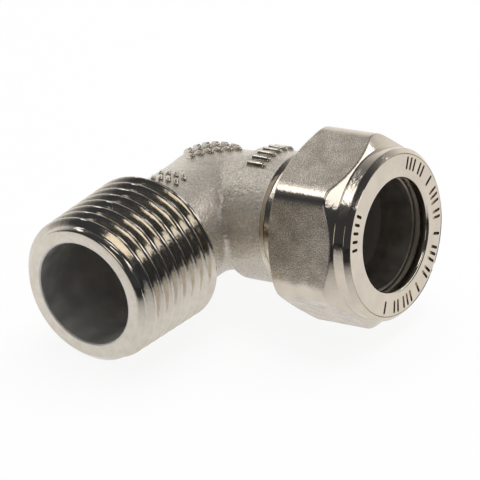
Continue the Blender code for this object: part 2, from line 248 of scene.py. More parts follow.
# Studio: the fitting lies on its thread and one corner of its nut, and the camera looks along +Y there
FLOOR_UP = Vector((0.1049, 0.0317, 0.9940))
STUDIO_TURN = math.radians(36.30)
VIEW_ELEVATION = math.radians(26.08)
VIEW_ROLL = math.radians(-1.72)
VIEW_DISTANCE = 0.410016
VIEW_RIGHT = 0.003254
VIEW_UP = -0.004753
LENS = 225.2
SENSOR = 36.0
FLOOR_SIZE = 2.0
FLOOR_COLOUR = (0.9, 0.9, 0.9)
FLOOR_SEEN_WHITE = 0.9
FLOOR_MIRRORED_WHITE = 0.8
LIGHT_DISTANCE = 0.6
# The black sheet in front, hidden from the camera, is painted shade that metal mirrors in place of the unlit
# room in front
FLAG_NEAR = 0.028
FLAG_FULL = 0.080
FLAG_FAR = FLOOR_SIZE
FLAG_LIFT = 0.0002
FLAG_PAINTED_SHADE_COLOUR = (0.035, 0.037, 0.042)
DARK_SIDE = (0.050, 0.054, 0.062)
BRIGHT_SIDE = (1.0, 0.99, 0.97)
ROOM_BACK = (-0.2, 0.45)
ROOM_TOP = (0.2, 0.85)
ROOM_TOP_SHARE = 0.1
REFLECTOR_COLOUR = (1.0, 0.90, 0.72)

# Where the plain forging ends, inside each thread
FORGING_MALE_END = MALE_REACH - TAPER_LENGTH + MARGIN
FORGING_NUT_END = SPIGOT_REACH - SPIGOT_THREAD_LENGTH + MARGIN

# Directions and turns
ALONG_MALE_ARM = Matrix.Translation(CROSSING) @ Matrix.Rotation(math.radians(90), 4, "X")
ALONG_NUT_ARM = Matrix.Translation(CROSSING) @ Matrix.Rotation(math.radians(90), 4, "Y")
STUDIO_FRAME = (Vector((0, 0, 1)).rotation_difference(FLOOR_UP).to_matrix().to_4x4()
                @ Matrix.Rotation(STUDIO_TURN, 4, "Z"))
STUDIO = Matrix.Translation(CROSSING) @ STUDIO_FRAME
ANGLES = np.linspace(0, 2 * np.pi, COLUMNS, endpoint=False)


def smooth_min(first, second, width):
    """The lesser of two values, with a rounded change from one to the other."""
    share = np.clip(0.5 + 0.5 * (second - first) / width, 0, 1)
    return second + (first - second) * share - width * share * (1 - share)


def smooth_max(first, second, width):
    """The greater of two values, with a rounded change from one to the other."""
    return -smooth_min(-first, -second, width)


def smooth_step(value):
    """A value kept between 0 and 1, with a soft start and a soft end."""
    share = np.clip(value, 0, 1)
    return share * share * (3 - 2 * share)


def steps(start, end, size=ROW):
    """Evenly spaced values from start to end, about one size apart."""
    return np.linspace(start, end, max(2, round(abs(end - start) / size) + 1))


def ring(radius, height):
    """A ring of points about the axis. Its radius may change round the ring."""
    radii = np.broadcast_to(radius, COLUMNS)
    heights = np.broadcast_to(height, COLUMNS)
    return np.stack([radii * np.cos(ANGLES), radii * np.sin(ANGLES), heights], axis=1)


def arc(radius, height, size, start, end, count=EDGE_STEPS):
    """Rings of a rounded edge, with angles in degrees."""
    turns = np.radians(np.linspace(start, end, count + 1))
    return [ring(radius + size * np.cos(turn), height + size * np.sin(turn)) for turn in turns]


def ball(radius):
    """Rings of half a ball below the crossing of the bores, from just beside its pole."""
    start = -90 + math.degrees(POLE_GAP)
    return arc(0, 0, radius, start, 0, DOME_STEPS)


def new_object(name, points, faces, direction, material):
    """An object in the scene from points and faces, laid in a direction."""
    mesh = bpy.data.meshes.new(name)
    mesh.from_pydata(points, [], faces)
    mesh.transform(direction)
    mesh.materials.append(material)
    item = bpy.data.objects.new(name, mesh)
    bpy.context.scene.collection.objects.link(item)
    return item


def strip(low, high, count=COLUMNS):
    """Faces between two rings that start at these point numbers."""
    near = np.arange(count)
    far = np.roll(near, -1)
    return np.stack([low + near, low + far, high + far, high + near], axis=1).tolist()


def fan(start, tip, upward):
    """Faces that close a ring with a point on the axis."""
    near = np.arange(COLUMNS)
    far = np.roll(near, -1)
    first, second = (near, far) if upward else (far, near)
    return np.stack([start + first, start + second, np.full(COLUMNS, tip)], axis=1).tolist()


def turned_rod(name, rings, direction, material):
    """A solid from rings that climb its outside, closed by a point on the axis at each end."""
    last = (len(rings) - 1) * COLUMNS
    tip = last + COLUMNS
    centres = [[0, 0, rings[0][0][2]], [0, 0, rings[-1][0][2]]]
    points = np.concatenate(rings + [centres]).tolist()
    faces = fan(0, tip, False) + fan(last, tip + 1, True)
    for row in range(len(rings) - 1):
        faces += strip(row * COLUMNS, (row + 1) * COLUMNS)
    return new_object(name, points, faces, direction, material)


def turned_ring(name, rings, direction, material):
    """A hollow piece from rings that climb its outside and come back down its bore."""
    faces = []
    for row in range(len(rings)):
        faces += strip(row * COLUMNS, (row + 1) % len(rings) * COLUMNS)
    return new_object(name, np.concatenate(rings).tolist(), faces, direction, material)


def apply_modifiers(item):
    """Keep the mesh that an object's modifiers make, and remove the modifiers."""
    depsgraph = bpy.context.evaluated_depsgraph_get()
    item.data = bpy.data.meshes.new_from_object(item.evaluated_get(depsgraph))
    item.modifiers.clear()


def combine(target, operation, tool):
    """Join a tool to a target, or cut it out, and remove the tool."""
    modifier = target.modifiers.new(operation.lower(), "BOOLEAN")
    modifier.operation = operation
    modifier.object = tool
    modifier.solver = "MANIFOLD"
    modifier.material_mode = "TRANSFER"
    apply_modifiers(target)
    bpy.data.objects.remove(tool)


def points_of(mesh):
    """A mesh's points, one in each row."""
    points = np.empty(len(mesh.vertices) * 3)
    mesh.vertices.foreach_get("co", points)
    return points.reshape(-1, 3)


def settle(mesh, distance):
    """Move every point of a mesh onto the surface where a distance is zero."""
    points = points_of(mesh)
    for _ in range(SETTLE_STEPS):
        gap = distance(points)
        slope = np.stack([distance(points + NUDGE * axis) - gap for axis in np.eye(3)], axis=1) / NUDGE
        points -= (gap / (slope ** 2).sum(axis=1))[:, None] * slope
    mesh.vertices.foreach_set("co", points.ravel())
    mesh.update()


def thread_rise(height, phase, crest):
    """How far a right-hand thread stands above its root at one height, round the ring."""
    turn = (height - phase) / PITCH - ANGLES / (2 * np.pi)
    offset = np.abs(turn - np.round(turn)) * PITCH
    rise = THREAD_DEPTH - (offset - crest / 2) / FLANK_SLOPE
    return smooth_max(smooth_min(rise, THREAD_DEPTH, THREAD_CREST_ROUNDING), 0.0, THREAD_ROOT_ROUNDING)


def taper_thread(material):
    """The male pipe thread, with a chamfered and rounded end and a sloping back."""
    back = MALE_REACH - TAPER_LENGTH
    edge_back = MALE_REACH - END_EDGE * (1 - math.sin(END_CHAMFER_ANGLE))
    edge_radius = END_RING_RADIUS - (MALE_REACH - edge_back) / math.cos(END_CHAMFER_ANGLE)
    gauge = MALE_REACH - TAPER_GAUGE
    inner = (ARM_RADIUS + WATERWAY_RADIUS) / 2
    deepest = back - (TAPER_CREST_RADIUS + MARGIN - inner) * THREAD_BACK_SLOPE
    rings = []
    for height in steps(deepest, edge_back):
        root = TAPER_CREST_RADIUS - THREAD_DEPTH + TAPER_RATE * (gauge - height)
        chamfer = END_RING_RADIUS + (MALE_REACH - height) * math.tan(END_CHAMFER_ANGLE)
        slope = inner + (height - deepest) / THREAD_BACK_SLOPE
        radius = smooth_min(root + thread_rise(height, back, THREAD_CREST), chamfer, THREAD_ROUNDING)
        rings.append(ring(smooth_min(radius, slope, THREAD_ROUNDING), height))
    rings += arc(edge_radius, MALE_REACH - END_EDGE, END_EDGE, math.degrees(END_CHAMFER_ANGLE), 90)[1:]
    return turned_rod("taper_thread", rings, ALONG_MALE_ARM, material)


def spigot_thread(material):
    """The parallel thread under the nut."""
    back = SPIGOT_REACH - SPIGOT_THREAD_LENGTH
    root = SPIGOT_CREST_RADIUS - THREAD_DEPTH
    inner = (GROOVE_RADIUS + SOCKET_RADIUS) / 2
    deepest = back - (SPIGOT_CREST_RADIUS + MARGIN - inner) * THREAD_BACK_SLOPE
    rings = []
    for height in steps(deepest, SPIGOT_REACH):
        chamfer = root - SPIGOT_EDGE + (SPIGOT_REACH - height)
        slope = inner + (height - deepest) / THREAD_BACK_SLOPE
        radius = smooth_min(root + thread_rise(height, SPIGOT_REACH, THREAD_CREST), chamfer, THREAD_ROUNDING)
        rings.append(ring(smooth_min(radius, slope, THREAD_ROUNDING), height))
    return turned_rod("spigot_thread", rings, ALONG_NUT_ARM, material)


def bar_outline(start, end, offset):
    """Points round a bar with round ends, at one distance from its middle line."""
    run, climb = np.subtract(end, start)
    turn = math.atan2(climb, run) + np.linspace(-np.pi / 2, np.pi / 2, BAR_POINTS // 2)
    around = offset * np.stack([np.cos(turn), np.sin(turn)], axis=1)
    return np.concatenate([end + around, start - around])


def bars(name, ends, sections, base, direction, material):
    """Separate bars, each a stack of outlines that lie at a distance from its line and above its base."""
    points = []
    faces = []
    for start, end in ends:
        first = len(points) * BAR_POINTS
        for offset, height in sections:
            outline = bar_outline(start, end, offset)
            points.append(np.column_stack([outline, base(*outline.T) + height]))
        rows = [first + row * BAR_POINTS for row in range(len(sections))]
        faces += [list(range(rows[0], rows[1]))[::-1], list(range(rows[-1], rows[-1] + BAR_POINTS))]
        for low, high in zip(rows, rows[1:]):
            faces += strip(low, high, BAR_POINTS)
    return new_object(name, np.concatenate(points).tolist(), faces, direction, material)


def bar_ends(middle, turn, length):
    """The two ends of a bar that is turned about its middle."""
    reach = np.array([-math.sin(turn), math.cos(turn)]) * length / 2
    return middle - reach, middle + reach


def pad(centre, turn, rows, row_step, count, step):
    """Ends of the short slanting bars of a rectangular pad."""
    side = np.array([math.cos(turn), math.sin(turn)])
    up = np.array([-math.sin(turn), math.cos(turn)])
    ends = []
    for row in range(rows):
        for index in range(count):
            middle = centre + side * step * (index - (count - 1) / 2) + up * row_step * (row - (rows - 1) / 2)
            ends.append(bar_ends(middle, turn + PAD_SLANT, PAD_BAR_LENGTH))
    return ends


def collar_bars():
    """Ends of the bars that lie along the collar."""
    ends = []
    for index in range(COLLAR_MARK_BARS):
        middle = np.array(COLLAR_MARK_CENTRE)
        middle[1] += COLLAR_MARK_STEP * (index - (COLLAR_MARK_BARS - 1) / 2)
        ends.append(bar_ends(middle, math.radians(90), COLLAR_MARK_LENGTH))
    return ends


def raised_bars(material):
    """Plain bars on the crown, the neck and the collar of the forging, each with a round back."""
    ends = pad(CROWN_CENTRE, CROWN_TURN, CROWN_ROWS, CROWN_ROW_STEP, CROWN_BARS, CROWN_STEP)
    ends += pad(NECK_CENTRE, 0, NECK_ROWS, NECK_ROW_STEP, NECK_BARS, NECK_STEP)
    ends += collar_bars()
    sections = [(BAR_HALF_WIDTH, -BAR_SINK)]
    for step in range(BAR_ROUND_STEPS):
        turn = math.pi / 2 * step / BAR_ROUND_STEPS
        sections.append((BAR_HALF_WIDTH * math.cos(turn), BAR_HEIGHT * math.sin(turn)))
    return bars("raised_bars", ends, sections, skin_height, Matrix.Translation(CROSSING), material)


def skin_height(x, y):
    """Height of the forged skin over places seen from above, found by stepping down on to it."""
    height = np.full(len(x), COLLAR_RADIUS + MARGIN)
    for _ in range(SKIN_STEPS):
        height -= forged_skin(np.column_stack([x, y, height]) + np.array(CROSSING))
    return height


def collar_distance(along, radius):
    """Distance from the collar on the nut's arm, with a rounded edge where it starts."""
    over = radius - (COLLAR_RADIUS - COLLAR_EDGE)
    before = COLLAR_START + COLLAR_EDGE - along
    outside = np.hypot(np.maximum(over, 0), np.maximum(before, 0))
    return outside + np.minimum(np.maximum(over, before), 0) - COLLAR_EDGE


def forged_skin(points):
    """Distance from the forged skin: a neck with a domed back, the nut's arm with its collar, and fillets."""
    x, y, z = (points - np.array(CROSSING)).T
    neck = np.sqrt(x ** 2 + np.maximum(y, 0) ** 2 + z ** 2) - ARM_RADIUS
    draft = NUT_ARM_DRAFT * np.clip(1 - x / COLLAR_START, 0, 1)
    arm = np.sqrt(np.minimum(x, 0) ** 2 + y ** 2 + z ** 2) - NUT_ARM_RADIUS + draft
    arm = smooth_min(arm, collar_distance(x, np.hypot(y, z)), COLLAR_FILLET)
    skin = smooth_min(neck, arm, FORGING_FILLET)
    return np.maximum(skin, np.maximum(-y - FORGING_MALE_END, x - FORGING_NUT_END))


def forging(material):
    """The forged bend: plain arms joined, meshed evenly and settled on the forged skin."""
    neck = ball(ARM_RADIUS) + [ring(ARM_RADIUS, FORGING_MALE_END)]
    arm = [ring(NUT_ARM_RADIUS, 0), ring(NUT_ARM_RADIUS, COLLAR_START), ring(COLLAR_RADIUS, COLLAR_START),
           ring(COLLAR_RADIUS, FORGING_NUT_END)]
    bend = turned_rod("elbow", neck, ALONG_MALE_ARM, material)
    combine(bend, "UNION", turned_rod("nut_arm", arm, ALONG_NUT_ARM, material))
    remesh = bend.modifiers.new("remesh", "REMESH")
    remesh.mode = "VOXEL"
    remesh.voxel_size = FORGING_VOXEL
    apply_modifiers(bend)
    settle(bend.data, forged_skin)
    return bend


def groove_cutter(material):
    """The ring that cuts the thread groove behind the spigot."""
    end = SPIGOT_REACH - SPIGOT_THREAD_LENGTH + 2 * MARGIN
    outer = COLLAR_RADIUS + MARGIN
    rings = [ring(outer, COLLAR_END - COLLAR_EDGE - MARGIN), ring(outer, end), ring(GROOVE_RADIUS, end),
             ring(GROOVE_RADIUS, COLLAR_END), ring(COLLAR_RADIUS - COLLAR_EDGE, COLLAR_END)]
    return turned_ring("groove", rings, ALONG_NUT_ARM, material)


def male_bore(material):
    """The cutter for the wide bore of the male arm and the waterway behind it."""
    bore_floor = MALE_REACH - MALE_BORE_DEPTH
    step = MALE_BORE_RADIUS - WATERWAY_RADIUS
    rings = ball(WATERWAY_RADIUS)
    rings += [ring(WATERWAY_RADIUS, bore_floor - step), ring(MALE_BORE_RADIUS, bore_floor)]
    rings += arc(MALE_BORE_RADIUS + BORE_EDGE, MALE_REACH - BORE_EDGE, BORE_EDGE, 180, 90)
    rings.append(ring(MALE_BORE_RADIUS + BORE_EDGE, MALE_REACH + MARGIN))
    return turned_rod("male_bore", rings, ALONG_MALE_ARM, material)


def tube_socket(material):
    """The cutter for the tube's socket, with its conical mouth, its stop and the waterway behind it."""
    stop = SPIGOT_REACH - SOCKET_DEPTH
    mouth = SPIGOT_CREST_RADIUS - THREAD_DEPTH - SPIGOT_LIP
    seat = SPIGOT_REACH - (mouth - SOCKET_RADIUS) / SEAT_SLOPE
    rings = [ring(TUBE_STOP_RADIUS, -MARGIN / 2), ring(TUBE_STOP_RADIUS, stop), ring(SOCKET_RADIUS, stop),
             ring(SOCKET_RADIUS, seat), ring(mouth + MARGIN * SEAT_SLOPE, SPIGOT_REACH + MARGIN)]
    return turned_rod("tube_socket", rings, ALONG_NUT_ARM, material)


def elbow(forged, turned, male_bore_painted_light, socket_bored):
    """The body: the forging with its bars and threads added and its groove and bores cut."""
    body = forging(forged)
    combine(body, "UNION", raised_bars(turned))
    combine(body, "DIFFERENCE", groove_cutter(turned))
    combine(body, "UNION", spigot_thread(turned))
    combine(body, "UNION", taper_thread(turned))
    combine(body, "DIFFERENCE", male_bore(male_bore_painted_light))
    combine(body, "DIFFERENCE", tube_socket(socket_bored))
    mark_worn(body.data)
    return body


def mark_worn(mesh):
    """Store where the forging is rubbed bright: 1 on the rounded edge that starts the collar, 0 elsewhere."""
    along, y, z = (points_of(mesh) - np.array(CROSSING)).T
    radius = np.hypot(y, z)
    in_edge = (along > COLLAR_START - NUDGE) & (along < COLLAR_START + COLLAR_EDGE + NUDGE)
    worn = in_edge & (radius > COLLAR_RADIUS - COLLAR_EDGE) & (radius < COLLAR_RADIUS + NUDGE)
    mesh.attributes.new("worn", "FLOAT", "POINT").data.foreach_set("value", worn.astype(float))


def hexagon_radius():
    """Radius of a six-sided bar with rounded corners, round the ring."""
    flat = NUT_FLATS / 2
    offset = np.abs((ANGLES - NUT_CLOCKING + NUT_HALF_SIDE) % (2 * NUT_HALF_SIDE) - NUT_HALF_SIDE)
    centre = (flat - NUT_CORNER_RADIUS) / math.cos(NUT_HALF_SIDE)
    away = NUT_HALF_SIDE - offset
    reach = np.sqrt(np.maximum(NUT_CORNER_RADIUS ** 2 - (centre * np.sin(away)) ** 2, 0))
    tangent = math.atan2((flat - NUT_CORNER_RADIUS) * math.tan(NUT_HALF_SIDE), flat)
    return np.where(offset < tangent, flat / np.cos(offset), centre * np.cos(away) + reach)


def nut_outside():
    """Rings that climb the nut: back chamfer, hexagon, cone, collar, chamfer, turned line and mouth edge."""
    hexagon = hexagon_radius()
    cone_foot = NUT_FRONT - NUT_COLLAR_LENGTH
    cone_back = cone_foot - (hexagon.max() - NUT_COLLAR_RADIUS) / NUT_CONE_SLOPE - MARGIN / 2
    lead = NUT_COLLAR_EDGE * math.tan(math.radians(45) / 2)
    chamfer_back = NUT_FRONT - NUT_COLLAR_CHAMFER - lead
    rings = []
    for height in [*steps(NUT_BACK, cone_back), *steps(cone_back, chamfer_back, ROW / 2)[1:-1]]:
        back = NUT_FLATS / 2 + (height - NUT_BACK) / SEAT_SLOPE
        cone = NUT_COLLAR_RADIUS + (cone_foot - height) * NUT_CONE_SLOPE
        outside = smooth_min(smooth_min(hexagon, back, NUT_EDGE), cone, NUT_EDGE)
        rings.append(ring(smooth_max(outside, NUT_COLLAR_RADIUS, NUT_COLLAR_CREASE), height))
    rings += arc(NUT_COLLAR_RADIUS - NUT_COLLAR_EDGE, chamfer_back, NUT_COLLAR_EDGE, 0, 45)
    face = NUT_COLLAR_RADIUS - NUT_COLLAR_CHAMFER
    rings += [ring(face, NUT_FRONT), ring(face - NUT_LINE_WIDTH / 2, NUT_FRONT - NUT_LINE_DEPTH),
              ring(face - NUT_LINE_WIDTH, NUT_FRONT)]
    rings += arc(SOCKET_RADIUS + NUT_MOUTH_EDGE, NUT_FRONT - NUT_MOUTH_EDGE, NUT_MOUTH_EDGE, 90, 180)
    return rings


def nut_inside():
    """Rings that go back down the nut's bore: throat, conical seat, relief and thread."""
    throat_back = NUT_FRONT - NUT_THROAT
    seat_back = throat_back - (NUT_BORE_RADIUS - SOCKET_RADIUS) / SEAT_SLOPE
    relief_back = seat_back - NUT_RELIEF_LENGTH
    rings = [ring(SOCKET_RADIUS, throat_back), ring(NUT_BORE_RADIUS, seat_back),
             ring(NUT_RELIEF_RADIUS, seat_back), ring(NUT_RELIEF_RADIUS, relief_back)]
    for height in steps(relief_back, NUT_BACK):
        groove = NUT_GROOVE_RADIUS - THREAD_DEPTH + thread_rise(height, SPIGOT_REACH, NUT_THREAD_CREST)
        entry = NUT_ENTRY_RADIUS - (height - NUT_BACK)
        rings.append(ring(np.maximum(smooth_max(groove, NUT_BORE_RADIUS, THREAD_ROUNDING), entry), height))
    return rings


def face_bars(material):
    """Cutters for the bars that are pressed into the nut's face, like the scale of a dial."""
    turns = []
    for group in range(FACE_GROUPS):
        count = 1 + group % FACE_COUNTS
        middle = FACE_GROUP_START + group * FACE_GROUP_STEP
        first = middle - (count - 1) / 2 * FACE_BAR_STEP
        turns += [(first + index * FACE_BAR_STEP, FACE_BAR_RADII) for index in range(count)]
    turns += [(SMALL_BAR_START + index * SMALL_BAR_STEP, SMALL_BAR_RADII) for index in range(SMALL_BARS)]
    ends = []
    for turn, radii in turns:
        outward = np.array([math.cos(turn), math.sin(turn)])
        ends.append([outward * radius for radius in radii])
    sections = [(FACE_BAR_HALF_WIDTH, -FACE_BAR_DEPTH), (FACE_BAR_HALF_WIDTH, FACE_BAR_DEPTH)]
    return bars("face_bars", ends, sections, face_height, ALONG_NUT_ARM, material)


def face_height(x, y):
    """Height of the nut's face along its own axis, which is the same everywhere."""
    return np.full(len(x), NUT_FRONT)


def nut(material, bored):
    """The hexagonal nut, bored and threaded inside, with bars pressed into its face."""
    outside = nut_outside()
    item = turned_ring("nut", outside + nut_inside(), ALONG_NUT_ARM, material)
    inside = np.arange(len(item.data.polygons)) >= len(outside) * COLUMNS
    item.data.materials.append(bored)
    item.data.polygons.foreach_set("material_index", inside.astype(int))
    combine(item, "DIFFERENCE", face_bars(material))
    mark_bright(item.data)
    return item


def mark_bright(mesh):
    """Store how turned, rather than forged, each point of the nut is: 0 on a flat, 1 on the turned ends."""
    along, y, z = (points_of(mesh) - np.array(CROSSING)).T
    radius = np.hypot(y, z)
    angle = np.arctan2(y, -z)
    offset = np.abs((angle - NUT_CLOCKING + NUT_HALF_SIDE) % (2 * NUT_HALF_SIDE) - NUT_HALF_SIDE)
    below_flat = np.abs(NUT_FLATS / 2 - radius * np.cos(offset))
    in_collar = along > NUT_FRONT - NUT_COLLAR_LENGTH - NUDGE
    bright = np.where(in_collar, 1.0, smooth_step(below_flat / NUT_FLAT_BLEND))
    mesh.attributes.new("bright", "FLOAT", "POINT").data.foreach_set("value", bright)


def olive_ring(material):
    """The olive: a ring with a cone at each end."""
    end = SOCKET_RADIUS + OLIVE_EDGE
    outer = SOCKET_RADIUS + OLIVE_WALL
    taper = (outer - end) / SEAT_SLOPE
    rings = [ring(end, OLIVE_BACK), ring(outer, OLIVE_BACK + taper), ring(outer, OLIVE_FRONT - taper),
             ring(end, OLIVE_FRONT), ring(SOCKET_RADIUS, OLIVE_FRONT), ring(SOCKET_RADIUS, OLIVE_BACK)]
    return turned_ring("olive_ring", rings, ALONG_NUT_ARM, material)


def dress(item, body, node):
    """Shade a piece, and set it on its body in place of its solid."""
    item.data.shade_smooth()
    item.data.set_sharp_from_angle(angle=SHARP_ANGLE)
    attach(item, body)
    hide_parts(node)
    return item


def add(tree, kind, inputs, **settings):
    """A shader node with its settings made and its inputs set or linked."""
    node = tree.nodes.new(kind)
    for name, value in settings.items():
        setattr(node, name, value)
    for name, value in inputs.items():
        if isinstance(value, bpy.types.NodeSocket):
            tree.links.new(value, node.inputs[name])
        else:
            node.inputs[name].default_value = value
    return node


def noise(tree, place, size, detail):
    """Soft random values with features of about one size."""
    inputs = {"Vector": place, "Scale": 1 / size, "Detail": detail}
    return add(tree, "ShaderNodeTexNoise", inputs).outputs["Fac"]


def spread(tree, value, low=0.0, high=1.0):
    """Bring random values, which lie mostly near the middle, to a range."""
    least, most = NOISE_RANGE
    inputs = {"Value": value, "From Min": least, "From Max": most, "To Min": low, "To Max": high}
    return add(tree, "ShaderNodeMapRange", inputs).outputs["Result"]


def lathe_lines(tree, place, across, size):
    """Random values that change only along a turned shape, for the fine rings that a tool leaves."""
    flattened = add(tree, "ShaderNodeVectorMath", {0: place, 1: across}, operation="MULTIPLY")
    radius = add(tree, "ShaderNodeVectorMath", {0: flattened.outputs[0]}, operation="LENGTH").outputs["Value"]
    axis = [1 - share for share in across]
    along = add(tree, "ShaderNodeVectorMath", {0: place, 1: axis}, operation="DOT_PRODUCT").outputs["Value"]
    run = add(tree, "ShaderNodeMath", {0: radius, 1: along}, operation="ADD").outputs[0]
    inputs = {"W": run, "Scale": 1 / size, "Detail": LINES_DETAIL}
    return add(tree, "ShaderNodeTexNoise", inputs, noise_dimensions="1D").outputs["Fac"]


def metal(name):
    """A metal with its node tree, its shader and places measured from the crossing of the bores."""
    material = bpy.data.materials.new(name)
    material.use_nodes = True
    tree = material.node_tree
    shader = tree.nodes["Principled BSDF"]
    shader.inputs["Metallic"].default_value = 1.0
    object_place = add(tree, "ShaderNodeTexCoord", {}).outputs["Object"]
    place = add(tree, "ShaderNodeMapping", {"Vector": object_place, "Location": -CROSSING}).outputs["Vector"]
    return material, tree, shader, place


def tint(tree, value, dark, light):
    """A colour that runs from dark to light as a value goes from 0 to 1."""
    inputs = {0: value, 6: (*dark, 1.0), 7: (*light, 1.0)}
    return add(tree, "ShaderNodeMix", inputs, data_type="RGBA").outputs[2]


def bump(tree, shader, layers):
    """Stack bumps, each a height and a depth in metres."""
    normal = None
    for height, depth in layers:
        inputs = {"Height": height, "Distance": depth}
        if normal:
            inputs["Normal"] = normal
        normal = add(tree, "ShaderNodeBump", inputs).outputs["Normal"]
    tree.links.new(normal, shader.inputs["Normal"])


def forged_metal():
    """Blasted and nickel plated: a fine grain that scatters part of the light, rubbed bright on one edge."""
    material, tree, shader, place = metal("forged_nickel")
    grain = noise(tree, place, FORGED_GRAIN, GRAIN_DETAIL)
    mottle = noise(tree, place, FORGED_MOTTLE, GRAIN_DETAIL)
    colour = tint(tree, spread(tree, mottle), *FORGED_COLOURS)
    worn = add(tree, "ShaderNodeAttribute", {}, attribute_name="worn").outputs["Fac"]
    shine = add(tree, "ShaderNodeMix", {"Factor": worn, "A": FORGED_SHINE, "B": 1.0}).outputs["Result"]
    blasted = spread(tree, grain, *BLASTED_ROUGHNESS)
    rough = add(tree, "ShaderNodeMix", {"Factor": worn, "A": blasted, "B": WORN_ROUGHNESS}).outputs["Result"]
    tree.links.new(colour, shader.inputs["Base Color"])
    tree.links.new(shine, shader.inputs["Metallic"])
    tree.links.new(rough, shader.inputs["Roughness"])
    bump(tree, shader, [(mottle, FORGED_MOTTLE_DEPTH), (grain, FORGED_GRAIN_DEPTH)])
    return material


def turned_metal():
    """Bright nickel on turned threads and rims."""
    material, tree, shader, place = metal("turned_nickel")
    lines = lathe_lines(tree, place, ACROSS_MALE_ARM, TURNED_LINES)
    stain = noise(tree, place, TURNED_STAIN, GRAIN_DETAIL)
    colour = tint(tree, spread(tree, stain), *TURNED_COLOURS)
    tree.links.new(colour, shader.inputs["Base Color"])
    tree.links.new(spread(tree, stain, *TURNED_ROUGHNESS), shader.inputs["Roughness"])
    wave = noise(tree, place, TURNED_WAVE, WAVE_DETAIL)
    bump(tree, shader, [(wave, WAVE_DEPTH), (lines, TURNED_LINES_DEPTH)])
    return material


def nut_metal():
    """Nickel on the nut: satin and grainy on the flats, bright on the turned ends and corners."""
    material, tree, shader, place = metal("nut_nickel")
    bright = add(tree, "ShaderNodeAttribute", {}, attribute_name="bright").outputs["Fac"]
    dull = add(tree, "ShaderNodeMath", {0: 1.0, 1: bright}, operation="SUBTRACT").outputs[0]
    grain = noise(tree, place, NUT_GRAIN, GRAIN_DETAIL)
    mottle = noise(tree, place, NUT_MOTTLE, MOTTLE_DETAIL)
    peel = add(tree, "ShaderNodeMath", {0: grain, 1: dull}, operation="MULTIPLY").outputs[0]
    lines = lathe_lines(tree, place, ACROSS_NUT_ARM, NUT_LINES)
    on_ends = spread(tree, mottle, *NUT_END_MOTTLE_RANGE)
    cloud = add(tree, "ShaderNodeMix", {"Factor": bright, "A": spread(tree, mottle), "B": on_ends})
    colour = tint(tree, cloud.outputs["Result"], *NUT_COLOURS)
    tree.links.new(colour, shader.inputs["Base Color"])
    shine = add(tree, "ShaderNodeMix", {"Factor": bright, "A": FLAT_SHINE, "B": 1.0}).outputs["Result"]
    tree.links.new(shine, shader.inputs["Metallic"])
    satin = spread(tree, grain, *BLASTED_ROUGHNESS)
    rough = add(tree, "ShaderNodeMix", {"Factor": bright, "A": satin, "B": NUT_END_ROUGHNESS})
    tree.links.new(rough.outputs["Result"], shader.inputs["Roughness"])
    wave = noise(tree, place, NUT_WAVE, WAVE_DETAIL)
    bump(tree, shader, [(peel, NUT_GRAIN_DEPTH), (wave, WAVE_DEPTH), (lines, NUT_LINES_DEPTH)])
    return material


def bored_metal(name, across, dark, light):
    """A dull plated bore, stained inside, with the rings that the tool leaves. Its dark and light colours are
    given for each bore: the male bore's and the nut bore's are lifted above the plating's own as painted
    light on their dim insides, and the socket's are darker.
    """
    material, tree, shader, place = metal(name)
    lines = lathe_lines(tree, place, across, BORED_LINES)
    stain = noise(tree, place, BORED_STAIN, GRAIN_DETAIL)
    colour = tint(tree, spread(tree, stain), dark, light)
    tree.links.new(colour, shader.inputs["Base Color"])
    tree.links.new(spread(tree, stain, *BORED_ROUGHNESS), shader.inputs["Roughness"])
    bump(tree, shader, [(lines, BORED_LINES_DEPTH)])
    return material


def olive_metal():
    """Turned brass, dulled by handling."""
    material, tree, shader, place = metal("olive_brass")
    lines = lathe_lines(tree, place, ACROSS_NUT_ARM, OLIVE_LINES)
    stain = noise(tree, place, OLIVE_STAIN, GRAIN_DETAIL)
    colour = tint(tree, spread(tree, stain), *OLIVE_COLOURS)
    tree.links.new(colour, shader.inputs["Base Color"])
    tree.links.new(spread(tree, stain, *OLIVE_ROUGHNESS), shader.inputs["Roughness"])
    bump(tree, shader, [(lines, BORED_LINES_DEPTH)])
    return material


def aimed(azimuth, elevation):
    """A turn of the studio that points +Z from the fitting to one side and height, in radians."""
    return STUDIO @ Matrix.Rotation(azimuth, 4, "Z") @ Matrix.Rotation(math.radians(90) - elevation, 4, "X")


def camera():
    """The camera, which looks from the photograph's side."""
    data = bpy.data.cameras.new("camera")
    data.lens = LENS
    data.sensor_width = SENSOR
    item = bpy.data.objects.new("camera", data)
    place = Matrix.Rotation(VIEW_ROLL, 4, "Z") @ Matrix.Translation((VIEW_RIGHT, VIEW_UP, VIEW_DISTANCE))
    item.matrix_world = aimed(0, VIEW_ELEVATION) @ place
    bpy.context.scene.collection.objects.link(item)
    bpy.context.scene.camera = item


def floor_material():
    """A pale floor that the camera and metal see as mostly white, but for the fitting's shadow."""
    material = bpy.data.materials.new("floor")
    material.use_nodes = True
    tree = material.node_tree
    tree.nodes.clear()
    rays = add(tree, "ShaderNodeLightPath", {}).outputs
    mirrored = add(tree, "ShaderNodeMath", {0: rays["Is Glossy Ray"], 1: rays["Is Transmission Ray"]},
                   operation="ADD").outputs[0]
    mirrored = add(tree, "ShaderNodeMath", {0: mirrored, 1: FLOOR_MIRRORED_WHITE},
                   operation="MULTIPLY").outputs[0]
    share = add(tree, "ShaderNodeMath", {0: rays["Is Camera Ray"], 1: FLOOR_SEEN_WHITE, 2: mirrored},
                operation="MULTIPLY_ADD").outputs[0]
    paper = add(tree, "ShaderNodeBsdfDiffuse", {"Color": (*FLOOR_COLOUR, 1.0)})
    white = add(tree, "ShaderNodeEmission", {"Strength": 1.0})
    mix = add(tree, "ShaderNodeMixShader", {0: share, 1: paper.outputs[0], 2: white.outputs[0]})
    add(tree, "ShaderNodeOutputMaterial", {"Surface": mix.outputs[0]})
    return material


